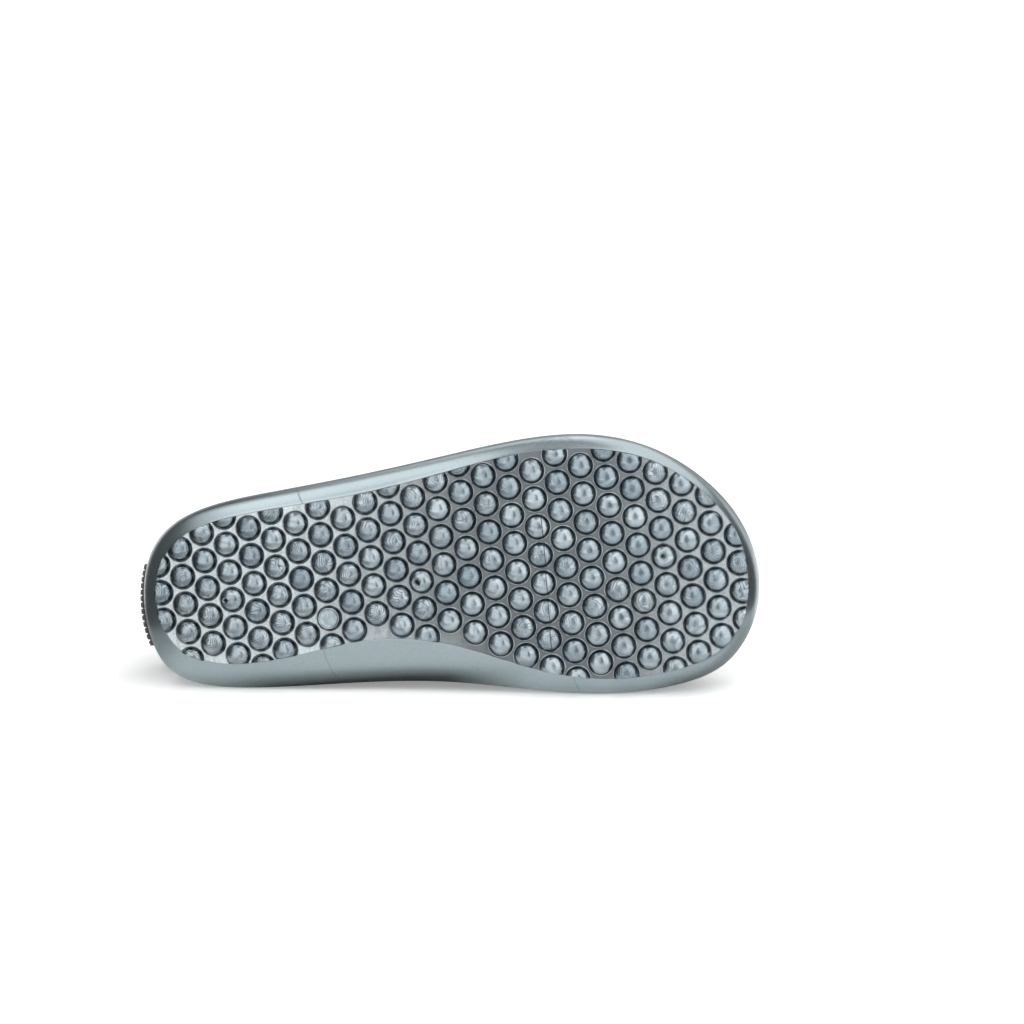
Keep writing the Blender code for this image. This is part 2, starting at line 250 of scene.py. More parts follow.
def collar(turn):
    """Edge of the opening: an oval, lower at the sides than at heel and instep."""
    ahead = turn + COLLAR_CROWD * np.sin(turn)
    back, front = (1 + np.cos(ahead)) / 2, (1 - np.cos(ahead)) / 2
    up = COLLAR_SIDE + (COLLAR_BACK - COLLAR_SIDE) * back**COLLAR_SWEEP
    up += (COLLAR_FRONT - COLLAR_SIDE) * front**COLLAR_SWEEP
    x = COLLAR_CENTRE[0] - COLLAR_LENGTH / 2 * np.cos(ahead)
    y = COLLAR_CENTRE[1] - COLLAR_WIDTH / 2 * np.sin(ahead)
    return np.column_stack([x, y, up])


def shell(turn, t):
    """Outer face of the upper above the rim: 0 at the rim, 1 at the collar."""
    start, end = cup(turn, 2.0, GAP), collar(turn)
    up = np.array([0.0, 0.0, 1.0])
    away = np.column_stack([outward(turn), np.zeros(len(turn))])
    bulge = column(turn, "bulge_out", "bulge_in")[:, None]
    rise, drop = column(turn, "rise")[:, None], column(turn, "drop")[:, None]
    toward = (start - end) * [1.0, 1.0, 0.0]
    leave = start + away * bulge + up * rise
    arrive = end + toward * column(turn, "reach")[:, None] - up * drop
    s = 1 - t
    return start * s**3 + leave * 3 * s * s * t + arrive * 3 * s * t * t + end * t**3


def normals(face, turn, t, step=0.01):
    """Unit normals of a face function, pointing out of the foot."""
    round_it = face(turn + step, t) - face(turn - step, t)
    up_it = face(turn, t + step) - face(turn, t - step)
    square = np.cross(round_it, up_it)
    return square / np.linalg.norm(square, axis=1, keepdims=True)


def inside_by(points, edge):
    """How far each point is inside a closed outline, negative outside it, and its nearest edge point."""
    start, end = edge, np.roll(edge, -1, 0)
    run = end - start
    gone = points[:, None, :] - start
    share = np.clip((gone * run).sum(-1) / (run * run).sum(-1), 0, 1)
    near = start + run * share[..., None]
    far = np.linalg.norm(points[:, None, :] - near, axis=-1)
    best = far.argmin(1)
    crosses = (start[:, 1] > points[:, None, 1]) != (end[:, 1] > points[:, None, 1])
    rise = np.where(run[:, 1] == 0, 1, run[:, 1])
    at = start[:, 0] + run[:, 0] * (points[:, None, 1] - start[:, 1]) / rise
    within = (crosses & (points[:, None, 0] < at)).sum(1) % 2 == 1
    pick = np.arange(len(points))
    return np.where(within, far[pick, best], -far[pick, best]), near[pick, best]


# The lying pose


def lying():
    """From the foot's own frame to the shared one: on its inner side, tread to the viewer."""
    along = Vector((1, 0, 0))
    along = (along - DOWN * along.dot(DOWN)).normalized()
    turn = Matrix((along, DOWN.cross(along) * -1, -DOWN)).to_4x4()
    return Matrix.Translation(SHIFT) @ turn


POSE = lying()
POSE_ARRAY = np.array(POSE)


def placed(points):
    """Millimetres in the foot's frame to metres in the shared one, pressed flat on the floor."""
    points = np.asarray(points, float) * MM @ POSE_ARRAY[:3, :3].T + POSE_ARRAY[:3, 3]
    points[:, 2] = np.maximum(points[:, 2], ON_FLOOR)
    return points


# Mesh building


def linked(name, data):
    """A new object in the scene."""
    made = bpy.data.objects.new(name, data)
    bpy.context.scene.collection.objects.link(made)
    return made


class Builder:
    """Collects vertices and faces with a UV and a mark for each vertex, then makes one object."""

    def __init__(self):
        self.points, self.faces, self.slots, self.uvs, self.marks = [], [], [], [], []
        self.count = 0

    def add(self, points, faces, slot, uv=None, wrap_uv=(), mark=None):
        """Adds a mesh. wrap_uv has faces, by index, whose UVs differ from their vertices'."""
        points = np.asarray(points, float)
        uv = np.zeros((len(points), 2)) if uv is None else np.asarray(uv, float)
        mark = np.zeros((len(points), 3)) if mark is None else np.asarray(mark, float)
        self.points.append(points)
        self.marks.append(mark)
        for face in faces:
            self.faces.append([k + self.count for k in face])
            self.slots.append(slot)
            self.uvs.append([uv[k] for k in face])
        for k, face_uv in wrap_uv:
            self.uvs[len(self.uvs) - len(faces) + k] = face_uv
        self.count += len(points)

    def grid(self, rings, slot, uv, closed=True, wrap=1.0):
        """Rings of points with a row of UV pairs each. At a closed ring's join U goes on by wrap."""
        rows, cols = len(rings), len(rings[0])
        flat_uv = np.concatenate(uv)
        faces, wraps = [], []
        for r in range(rows - 1):
            for c in range(cols if closed else cols - 1):
                n = (c + 1) % cols
                quad = [r * cols + c, r * cols + n, (r + 1) * cols + n, (r + 1) * cols + c]
                if n == 0:
                    corner = [flat_uv[k].copy() for k in quad]
                    corner[1][0] += wrap
                    corner[2][0] += wrap
                    wraps.append((len(faces), corner))
                faces.append(quad)
        self.add(np.concatenate(rings), faces, slot, flat_uv, wraps)

    def make(self, name, materials):
        mesh = bpy.data.meshes.new(name)
        mesh.from_pydata(placed(np.concatenate(self.points)).tolist(), [], self.faces)
        for material in materials:
            mesh.materials.append(material)
        mesh.polygons.foreach_set("material_index", self.slots)
        mesh.polygons.foreach_set("use_smooth", [True] * len(self.faces))
        layer = mesh.uv_layers.new(name="UVMap")
        layer.data.foreach_set("uv", np.concatenate([np.ravel(uv) for uv in self.uvs]))
        marks = mesh.attributes.new("mark", "FLOAT_VECTOR", "POINT")
        marks.data.foreach_set("vector", np.concatenate(self.marks).ravel())
        mesh.update()
        return linked(name, mesh)


def ring_turn(count):
    """Turns of a ring's points, starting at the heel."""
    return np.arange(count) * TURN / count


# Material nodes


class Nodes:
    """Short names for making and joining shader nodes."""

    def __init__(self, name):
        self.material = bpy.data.materials.new(name)
        self.material.use_nodes = True
        self.tree = self.material.node_tree
        self.shader = self.tree.nodes["Principled BSDF"]

    def new(self, kind, **settings):
        node = self.tree.nodes.new(kind)
        for key, value in settings.items():
            setattr(node, key, value)
        return node

    def join(self, source, target):
        self.tree.links.new(source, target)

    def put(self, value, socket):
        if isinstance(value, bpy.types.NodeSocket):
            self.join(value, socket)
        else:
            socket.default_value = value

    def math(self, operation, a, b=0.0, c=0.0):
        node = self.new("ShaderNodeMath", operation=operation)
        for socket, value in zip(node.inputs, (a, b, c)):
            self.put(value, socket)
        return node.outputs[0]

    def plus(self, a, b):
        return self.math("ADD", a, b)

    def minus(self, a, b):
        return self.math("SUBTRACT", a, b)

    def times(self, a, b):
        return self.math("MULTIPLY", a, b)

    def length(self, vector):
        node = self.new("ShaderNodeVectorMath", operation="LENGTH")
        self.join(vector, node.inputs[0])
        return node.outputs["Value"]

    def smooth(self, value, low, high, to_low=0.0, to_high=1.0):
        node = self.new("ShaderNodeMapRange", interpolation_type="SMOOTHSTEP")
        for socket, item in zip(node.inputs[:5], (value, low, high, to_low, to_high)):
            self.put(item, socket)
        return node.outputs[0]

    def mix(self, share, a, b):
        node = self.new("ShaderNodeMix", data_type="RGBA")
        self.put(share, node.inputs[0])
        for socket, colour in ((node.inputs[6], a), (node.inputs[7], b)):
            self.put(colour if isinstance(colour, bpy.types.NodeSocket) else (*colour, 1), socket)
        return node.outputs[2]

    def noise(self, where, scale, detail=3.0, rough=0.55, distortion=0.0):
        node = self.new("ShaderNodeTexNoise")
        self.join(where, node.inputs["Vector"])
        sizes = {"Scale": scale, "Detail": detail, "Roughness": rough, "Distortion": distortion}
        for key, value in sizes.items():
            node.inputs[key].default_value = value
        return node.outputs[0]

    def place(self, kind="Object"):
        return self.new("ShaderNodeTexCoord").outputs[kind]

    def stretch(self, where, scale, shift=(0, 0, 0)):
        node = self.new("ShaderNodeMapping")
        self.join(where, node.inputs["Vector"])
        node.inputs["Scale"].default_value = scale
        node.inputs["Location"].default_value = shift
        return node.outputs[0]

    def split(self, where):
        node = self.new("ShaderNodeSeparateXYZ")
        self.join(where, node.inputs[0])
        return node.outputs

    def vector(self, x, y, z):
        node = self.new("ShaderNodeCombineXYZ")
        for socket, value in zip(node.inputs, (x, y, z)):
            self.put(value, socket)
        return node.outputs[0]

    def mark(self):
        node = self.new("ShaderNodeAttribute", attribute_name="mark")
        return node.outputs["Vector"]

    def bump(self, height, strength, distance, after=None):
        node = self.new("ShaderNodeBump")
        node.inputs["Strength"].default_value = strength
        node.inputs["Distance"].default_value = distance
        self.join(height, node.inputs["Height"])
        if after is not None:
            self.join(after, node.inputs["Normal"])
        return node.outputs[0]

    def finish(self, colour, roughness, normal=None, metallic=0.0, **fixed):
        self.join(colour, self.shader.inputs["Base Color"])
        self.put(roughness, self.shader.inputs["Roughness"])
        self.shader.inputs["Metallic"].default_value = metallic
        if normal is not None:
            self.join(normal, self.shader.inputs["Normal"])
        for key, value in fixed.items():
            self.shader.inputs[key.replace("_", " ")].default_value = value
        return self.material


def nub_rubber():
    """Pearly grey domes with flow lines from the moulding, no two alike."""
    n = Nodes("nub_rubber")
    flat = n.split(n.place("UV"))
    seed, shade, from_slit = n.split(n.mark())

    def lot(factor):
        """A number from 0 to 1 that differs from nub to nub."""
        return n.math("FRACT", n.times(seed, factor))

    where = n.vector(flat[0], flat[1], n.times(seed, 37.0))
    aside, above = n.minus(lot(13.7), 0.5), n.minus(lot(71.3), 0.5)
    reach = n.length(n.vector(n.minus(flat[0], aside), n.minus(flat[1], above), 0.0))
    drift = n.times(n.noise(where, 0.9, 1.0, 0.45), 1.6)
    rings = n.math("SINE", n.times(n.plus(reach, drift), 30.0))
    heel = n.smooth(n.split(n.place())[0], -0.03, 0.03, 0.35, 0.0)
    marked = n.smooth(n.plus(lot(29.3), heel), 0.3, 0.95)
    patch = n.smooth(n.noise(n.stretch(where, (1, 1, 1), (4, 2, 0)), 0.9, 1.0), 0.25, 0.45)
    lines = n.times(n.times(n.smooth(rings, 0.3, 0.95), marked), patch)
    # Painted shade in the slits, the pits and low on each nub's side; a painted highlight on the bead.
    slit = n.smooth(n.math("ABSOLUTE", from_slit), 0.015, 0.06, 1.0, 0.0)
    painted_shade = n.math("MAXIMUM", n.times(shade, -1.0), n.times(slit, 0.8))
    pearl = n.smooth(n.noise(where, 0.8, 2.0, 0.5, 1.2), 0.3, 0.7)
    base = n.mix(pearl, NUB_DARK, NUB_PALE)
    base = n.mix(n.smooth(lot(53.1), 0.45, 1.0, 0.0, 0.5), base, NUB_BLUE)
    base = n.mix(n.times(lines, 0.6), base, NUB_LINE)
    base = n.mix(n.math("MAXIMUM", shade, 0.0), base, NUB_PAINTED_HIGHLIGHT)
    base = n.mix(painted_shade, base, NUB_PAINTED_SHADE)
    rough = n.plus(n.times(n.noise(where, 2.0, 3.0), 0.10), 0.20)
    normal = n.bump(n.times(n.plus(lines, slit), -1.0), 0.3, 0.0001)
    normal = n.bump(n.noise(where, 30.0, 3.0), 0.015, 0.00004, normal)
    return n.finish(base, rough, normal, metallic=1.0, Coat_Weight=0.1, Coat_Roughness=0.25)


def tread_rubber():
    """The floor between the nubs: the same rubber with a grained, duller face, darker under the ball."""
    n = Nodes("tread_rubber")
    where = n.place()
    x = n.split(where)[0]
    grain = n.noise(where, 1400.0, 4.0, 0.7)
    cloud = n.noise(where, 60.0, 3.0)
    drawn = n.noise(n.stretch(where, (1.0, 1.0, 0.16)), 420.0, 3.0)
    base = n.mix(n.smooth(grain, 0.3, 0.7), TREAD_DARK, TREAD_PALE)
    base = n.mix(n.smooth(drawn, 0.5, 0.75, 0.0, 0.5), base, TREAD_DRAWN)
    front = n.smooth(n.plus(x, n.times(cloud, 0.03)), -0.035, 0.037)
    toe = n.smooth(x, 0.048, 0.085, 1.0, 0.42)
    base = n.mix(n.times(n.times(front, toe), 0.91), base, TREAD_BALL)
    return n.finish(base, 0.45, n.bump(grain, 0.45, 0.00018), metallic=0.3)


# Thin mould lines across the sidewall. end is how far up they run, with 1 at the widest line.
Seam = namedtuple("Seam", "at_tread at_widest dark end")
SEAMS = [
    Seam(1.092, 1.112, 0.30, 9.0),
    Seam(1.870, 2.050, 0.40, 0.7),
    Seam(1.950, 2.020, 0.25, 0.7),
    Seam(2.040, 1.980, 0.25, 0.7),
    Seam(2.100, 1.960, 0.45, 0.7),
    Seam(3.173, 3.173, 0.30, 9.0),
    Seam(4.312, 4.290, 0.30, 9.0),
    Seam(5.170, 5.060, 0.30, 9.0),
    Seam(6.272, 6.272, 0.30, 9.0),
]


def sidewall_rubber():
    """Satin sidewall with a fine grain and the thin lines where the mould closes."""
    n = Nodes("sidewall_rubber")
    where, uv = n.place(), n.split(n.place("UV"))
    speck = n.noise(where, 1600.0, 3.0, 0.7)
    cloud = n.noise(where, 45.0, 4.0, 0.6)
    pale = n.times(n.plus(cloud, n.smooth(speck, 0.3, 0.7)), 0.5)
    rise = n.math("DIVIDE", n.minus(uv[1], LIP_RING * RING_V), (WIDEST_RING - LIP_RING) * RING_V)
    seam = 0.0
    for row in SEAMS:
        at = n.math("MULTIPLY_ADD", rise, (row.at_widest - row.at_tread) / TURN, row.at_tread / TURN)
        gap = n.math("ABSOLUTE", n.minus(uv[0], at))
        line = n.smooth(gap, 0.0001, 0.0006, row.dark, 0.0)
        line = n.times(line, n.smooth(rise, row.end, row.end + 0.2, 1.0, 0.0))
        seam = n.math("MAXIMUM", seam, line)
    base = n.mix(seam, n.mix(pale, WALL_DARK, WALL_PALE), WALL_SEAM)
    rough = n.plus(n.times(speck, 0.06), 0.255)
    normal = n.bump(seam, 0.8, 0.0001, n.bump(speck, 0.14, 0.00013))
    return n.finish(base, rough, normal, metallic=0.93, Coat_Weight=0.05, Coat_Roughness=0.35)


def knit(name, light, dark, depth):
    """Plain knitting: two legs to a wale, leaning together into small Vs."""
    n = Nodes(name)
    uv = n.split(n.place("UV"))
    leg = n.math("ABSOLUTE", n.minus(n.math("FRACT", uv[0]), 0.5))
    rows = n.math("COSINE", n.times(n.plus(uv[1], n.times(leg, 1.1)), TURN))
    legs = n.math("SINE", n.times(leg, TURN))
    height = n.times(legs, n.plus(n.times(rows, 0.35), 0.65))
    fuzz = n.noise(n.place(), 2600.0, 3.0, 0.7)
    tone = n.noise(n.place(), 70.0, 3.0)
    lint = tuple(1.9 * part for part in light)
    # Painted shade: darker where the stitch is low, in the hollows between the yarns.
    base = n.mix(n.smooth(height, 0.1, 0.95), dark, light)
    base = n.mix(n.times(tone, 0.25), base, dark)
    base = n.mix(n.smooth(fuzz, 0.62, 0.85, 0.0, 0.35), base, lint)
    normal = n.bump(fuzz, 0.25, 0.0001, n.bump(height, 0.8, depth))
    return n.finish(base, 0.88, normal, Sheen_Weight=0.25, Sheen_Roughness=0.45)


def rib_rubber():
    """Dull, nearly black rubber of the heel tab."""
    n = Nodes("rib_rubber")
    where = n.place()
    base = n.mix(n.noise(where, 300.0, 3.0), RIB_DARK, RIB_PALE)
    return n.finish(base, 0.55, n.bump(n.noise(where, 1800.0, 3.0), 0.3, 0.00012))


def lining_cloth():
    """Grey plain weave of the footbed."""
    n = Nodes("lining_cloth")
    uv = n.split(n.place("UV"))
    warp = n.math("SINE", n.times(uv[0], TURN))
    weft = n.math("SINE", n.times(uv[1], TURN))
    weave = n.times(warp, weft)
    # Painted shade: darker where the weave's threads pass under.
    base = n.mix(n.smooth(weave, -0.6, 0.8), LINING_DARK, LINING_PALE)
    base = n.mix(n.noise(n.place(), 40.0, 3.0), base, LINING_WORN)
    return n.finish(base, 0.9, n.bump(weave, 0.6, 0.0003))


# Outsole


NUB_SLOT, TREAD_SLOT, WALL_SLOT = range(3)


def build_outsole():
    """Sidewall, rim and cup in one skin, closed by the floors of tread and cup, with the nubs on it."""
    made = Builder()
    turn = ring_turn(288)
    count = len(turn)
    away = np.column_stack([outward(turn), np.zeros(count)])
    tread = sidewall(turn, 0.0)
    rings = [tread, tread - [0, 0, LIP_STEP], tread + away * LIP_OUT - [0, 0, LIP_DROP]]
    for t in np.linspace(0.02, 1, WIDEST_RING - LIP_RING + 1):
        rings.append(sidewall(turn, t) - [0, 0, LIP_DROP * max(0.0, 1 - 4 * t)])
    for t in np.linspace(1.12, 1.88, 7):
        rings.append(sidewall(turn, t))
    rim, inner = sidewall(turn, 2.0), cup(turn, 2.0, 0)
    middle, half = (rim + inner) / 2, (rim - inner) / 2
    for angle in np.linspace(0, math.pi, 7):
        crown = RIM_CROWN * math.sin(angle) - RIM_SINK
        rings.append(middle + half * math.cos(angle) + [0, 0, crown])
    for t in (1.7, 1.35, 1, 0.75, 0.5, 0.25, 0):
        rings.append(cup(turn, t, 0))
    uv = [np.column_stack([turn / TURN, np.full(count, r * RING_V)]) for r in range(len(rings))]
    made.grid(rings, WALL_SLOT, uv)
    toe = count // 2
    faces = [[k, k + 1, count - k - 1, count - k] for k in range(1, toe - 1)]
    faces += [[0, 1, count - 1], [toe - 1, toe, toe + 1]]
    made.add(tread, faces, TREAD_SLOT)
    made.add(rings[-1], faces, WALL_SLOT)
    add_nubs(made)
    return made.make("outsole_skin", [nub_rubber(), tread_rubber(), sidewall_rubber()])


# Nubs that differ, by lattice column and row from the start. A pit has its place and size in nub radii,
# and a slit its place across the nub.
NO_NUBS = {(0, -3), (1, 2), (4, 1), (5, 1)}
FLAT_NUB = (-1, 2)
PIT_NUBS = {(-5, 3): (-0.48, 0.0, 0.19), (3, -1): (-0.30, 0.02, 0.29), (13, -6): (-0.10, -0.05, 0.27)}
SLIT_NUBS = {(8, -5): 0.42, (8, -4): 0.40, (8, -3): 0.32, (8, -2): 0.26, (8, -1): 0.18}
NO_SLIT = 9.0

# Rings of a nub from the floor up: how far past its radius, how high, and shade, pale over 0 as a painted
# highlight on the bead, dark under 0 as painted shade on the steep side.
NubRing = namedtuple("NubRing", "past up shade")
BEAD = [
    NubRing(0.36, -0.04, 0.1),
    NubRing(0.27, 0.05, 0.15),
    NubRing(0.14, 0.02, -0.4),
    NubRing(0.03, 0.1, -0.9),
]
DISC = [
    NubRing(0.0, 0.3, -0.9),
    NubRing(-0.15, 1.2, -0.9),
    NubRing(-0.42, 1.8, -0.7),
    NubRing(-0.62, 2.05, -0.1),
    NubRing(-0.85, 2.05, 0.0),
    NubRing(-1.0, 1.9, -0.5),
    NubRing(-1.15, 1.88, 0.0),
    NubRing(-2.38, 1.88, 0.0),
]
# Degrees up the round of a dome, and its painted shade there, darkest low on the side.
DOME = [(14, -0.9), (26, -0.55), (38, -0.27), (50, -0.1), (61, 0.0), (71, 0.0), (80, 0.0)]


def nub_profile(flat):
    """Radius, height and painted shade from the floor up: a bead with a painted highlight, a steep side
    with painted shade, then a disc or a dome.
    """
    rings = [(NUB_RADIUS + ring.past, ring.up, ring.shade) for ring in (BEAD + DISC if flat else BEAD)]
    if flat:
        return np.array(rings)
    for degrees, shade in DOME:
        angle = math.radians(degrees)
        radius = NUB_RADIUS * math.cos(angle) ** NUB_SQUARE
        rings.append((radius, NUB_HEIGHT * math.sin(angle) ** NUB_SQUARE, shade))
    return np.array(rings)


def nub_mesh(key, seed):
    """One nub about its own centre: points, faces, and marks of seed, painted shade and highlight, and
    distance from a slit.
    """
    profile = nub_profile(key == FLAT_NUB)
    segments = 36
    if key in PIT_NUBS:
        segments = 60
        steps, index = np.linspace(0, len(profile) - 1, 25), np.arange(len(profile))
        profile = np.column_stack([np.interp(steps, index, values) for values in profile.T])
    angle = ring_turn(segments)
    circle = np.column_stack([np.cos(angle), np.sin(angle), np.zeros(segments)])
    rings = [circle * radius - [0, 0, up] for radius, up, _ in profile]
    points = np.vstack([*rings, [[0, 0, -profile[-1, 1]]]])
    faces = []
    for r in range(len(profile) - 1):
        low, high = r * segments, (r + 1) * segments
        for c in range(segments):
            n = (c + 1) % segments
            faces.append([low + n, low + c, high + c, high + n])
    last = (len(profile) - 1) * segments
    faces += [[last + (c + 1) % segments, last + c, len(points) - 1] for c in range(segments)]
    across, along = points[:, 0] / NUB_RADIUS, points[:, 1] / NUB_RADIUS
    marks = np.zeros((len(points), 3))
    marks[:, 0] = seed
    marks[:-1, 1] = np.repeat(profile[:, 2], segments)
    marks[:, 2] = across - SLIT_NUBS.get(key, NO_SLIT)
    if key in PIT_NUBS:
        u, v, size = PIT_NUBS[key]
        pit = np.clip(1.25 - np.hypot(across - u, along - v) / size, 0, 1)
        points[:, 2] += pit * PIT_DEPTH
        # Painted shade in the pit's hollow.
        marks[:, 1] = np.minimum(marks[:, 1], -np.clip(pit * 1.3, 0, 1))
    return points, faces, marks


def add_nubs(made):
    """The hexagonal lattice of nubs, cut off where it passes the tread's edge."""
    turn = ring_turn(720)
    edge = tread_edge(turn) - outward(turn) * TREAD_MARGIN
    across = NUB_PITCH * math.cos(math.radians(30))
    seeds = np.random.default_rng(NUB_SEED)
    keys, places = [], []
    for j in range(-12, 20):
        for i in range(-20, 20):
            if (j, i) in NO_NUBS:
                continue
            keys.append((j, i))
            places.append((NUB_START[0] + j * across, NUB_START[1] + (i + j / 2) * NUB_PITCH))
    depth, near = inside_by(np.array(places), edge)
    for key, (x, y), inside, edge_point in zip(keys, places, depth, near):
        if inside < NUB_LEAST - NUB_RADIUS:
            continue
        seed = seeds.random()
        points, faces, marks = nub_mesh(key, 0.0 if key == FLAT_NUB else seed)
        if inside < NUB_RADIUS + BEAD_REACH:
            points, faces, marks = trimmed(points, faces, marks, edge_point - (x, y), inside)
        slope = float(spring(x + 0.5) - spring(x - 0.5))
        tilt = np.array(Matrix.Rotation(-math.atan(slope), 3, "Y"))
        seated = points @ tilt.T + [x, y, float(spring(x))]
        made.add(seated, faces, NUB_SLOT, points[:, :2] / NUB_RADIUS, mark=marks)


def trimmed(points, faces, marks, to_edge, inside):
    """The nub with what passes the tread's edge cut away, and the cut closed."""
    bm = bmesh.new()
    layer = bm.verts.layers.float_vector.new("mark")
    verts = []
    for point, mark in zip(points, marks):
        vert = bm.verts.new(point)
        vert[layer] = Vector(mark)
        verts.append(vert)
    for face in faces:
        bm.faces.new([verts[k] for k in face])
    on_edge = Vector((*to_edge, 0))
    out = on_edge.normalized() if inside > 0 else -on_edge.normalized()
    geometry = bm.verts[:] + bm.edges[:] + bm.faces[:]
    cut = bmesh.ops.bisect_plane(bm, geom=geometry, plane_co=on_edge, plane_no=out, clear_outer=True)
    rim = [item for item in cut["geom_cut"] if isinstance(item, bmesh.types.BMEdge)]
    line = sorted({v for e in rim for v in e.verts}, key=lambda v: v.co.cross(out).z)
    if len(line) > 2:
        closing = bm.faces.new(line)
        closing.normal_update()
        if closing.normal.dot(out) < 0:
            closing.normal_flip()
    bm.verts.index_update()
    points = np.array([v.co[:] for v in bm.verts])
    marks = np.array([v[layer][:] for v in bm.verts])
    faces = [[v.index for v in face.verts] for face in bm.faces]
    bm.free()
    return points, faces, marks


# Upper


# Soft folds of the knit: turn and height of the middle, length and width in millimetres, depth, lean.
Fold = namedtuple("Fold", "turn level long wide deep lean")
FOLDS = [
    Fold(2.25, 0.52, 34, 5.0, 1.1, 0.35),
    Fold(2.05, 0.40, 26, 4.0, -0.7, 0.30),
    Fold(4.05, 0.50, 34, 5.0, 1.0, -0.35),
    Fold(4.25, 0.38, 24, 4.0, -0.6, -0.30),
    Fold(1.20, 0.62, 22, 4.5, 0.9, 0.15),
    Fold(5.10, 0.60, 22, 4.5, 0.8, -0.15),
    Fold(0.62, 0.55, 18, 4.0, 0.7, -0.2),
    Fold(5.66, 0.55, 18, 4.0, 0.7, 0.2),
]


def unit(vector):
    return vector / np.linalg.norm(vector)


def fold_depth(face):
    """How far the surface dips at points of the shell."""
    dip = np.zeros(len(face))
    for fold in FOLDS:
        at = np.array([fold.turn])
        middle = shell(at, fold.level)[0]
        ahead = unit(shell(at + FOLD_STEP, fold.level)[0] - middle)
        up = unit(shell(at, fold.level + FOLD_STEP)[0] - middle)
        run = ahead * math.cos(fold.lean) + up * math.sin(fold.lean)
        side = up * math.cos(fold.lean) - ahead * math.sin(fold.lean)
        gone = face - middle
        a, b = gone @ run / (fold.long / 2), gone @ side / fold.wide
        near = np.linalg.norm(gone, axis=1) < FOLD_REACH
        dip += fold.deep * np.exp(-1.6 * a**2 - b**2) * near
    return dip


def cup_face(turn, t):
    """The face of the upper inside the sole."""
    return cup(turn, t, GAP)


def build_upper():
    """The knitted shell: out of the cup to the hem, over the collar, down inside and in under the foot."""
    made = Builder()
    turn = ring_turn(480)
    rings, uvs = [], []
    travelled = np.zeros(len(turn))
    below_hem = 1 - HEM_HEIGHT

    def put(ring):
        if rings:
            travelled[:] += np.linalg.norm(ring - rings[-1], axis=1)
        rings.append(ring)
        uvs.append(np.column_stack([turn / TURN * WALES, travelled / ROW_PITCH]))

    for t in (0.15, 0.4, 0.7, 1.0, 1.5, 1.97):
        put(cup_face(turn, t))
    for t in (*np.linspace(0.015, below_hem - HEM_STEP, 62), *np.linspace(below_hem, HEM_TOP, 18)):
        face, out = shell(turn, t), normals(shell, turn, t)
        hem = np.clip((t - below_hem) / HEM_STEP + 0.5, 0, 1)
        rib = HEM_RIB_DEPTH * np.cos(turn * HEM_RIBS) * hem
        dip = fold_depth(face) * (1 - hem) * min(1, t * 8)
        put(face + out * (HEM_THICK * hem + rib - dip)[:, None])
    out = normals(shell, turn, 1.0, 0.005)
    half = (HEM_THICK + UPPER_WALL) / 2
    middle = shell(turn, HEM_TOP) + out * (HEM_THICK - half)
    over = shell(turn, 1.0) - shell(turn, HEM_TOP)
    for angle in np.radians(np.linspace(20, 160, 7)):
        put(middle + out * half * math.cos(angle) + over * math.sin(angle))
    inner_from = len(rings)
    for t in (0.97, 0.9, 0.82, 0.7, 0.58, 0.46, 0.34, 0.22, 0.1, 0.02):
        put(shell(turn, t) - normals(shell, turn, t) * UPPER_WALL)
    for t in (1.9, 1.4, 1.0, 0.6, 0.15):
        put(cup_face(turn, t) - normals(cup_face, turn, t) * UPPER_WALL)
    lasted = cup(turn, 0.0, GAP + LASTED_IN)
    lasted[:, 2] = spring(lasted[:, 0]) + BASE_THICK + LASTED_UP
    put(lasted)
    put(rings[0])
    made.grid(rings[:inner_from], 0, uvs[:inner_from], wrap=WALES)
    made.grid(rings[inner_from - 1 :], 1, uvs[inner_from - 1 :], wrap=WALES)
    outer = knit("green_knit", KNIT_PALE, KNIT_DARK, 0.0007)
    inner = knit("inner_knit", INNER_PALE, INNER_DARK, 0.0005)
    return made.make("upper_knit", [outer, inner])


# Insole


def build_insole():
    """A thin footbed with a rounded upper edge and a slightly dished top."""
    made = Builder()
    turn = ring_turn(240)
    count = len(turn)
    base = cup(turn, 0, GAP + UPPER_WALL + INSOLE_CLEAR)
    base[:, 2] = spring(base[:, 0]) + BASE_THICK + GAP
    away = np.column_stack([outward(turn), np.zeros(count)])
    rings = [base]
    for inset, below in ((0.0, 0.7), (0.25, 0.2), (0.8, 0.0)):
        rings.append(base - away * inset + [0, 0, INSOLE_THICK - below])
    made.grid(rings, 0, [ring[:, :2] / WEAVE_PITCH for ring in rings], wrap=0.0)
    toe = count // 2
    across = np.linspace(0, 1, 25)
    dish = np.outer(np.sin(across * math.pi), [0, 0, -INSOLE_DISH])
    top = rings[-1]
    rows = [top[k] + (top[-k] - top[k]) * across[:, None] + dish for k in range(1, toe)]
    made.grid(rows, 0, [row[:, :2] / WEAVE_PITCH for row in rows], closed=False)
    faces = [[count - k, count - k - 1, k + 1, k] for k in range(1, toe - 1)]
    made.add(base, faces, 0, base[:, :2] / WEAVE_PITCH)
    return made.make("insole_cloth", [lining_cloth()])


# Heel tab


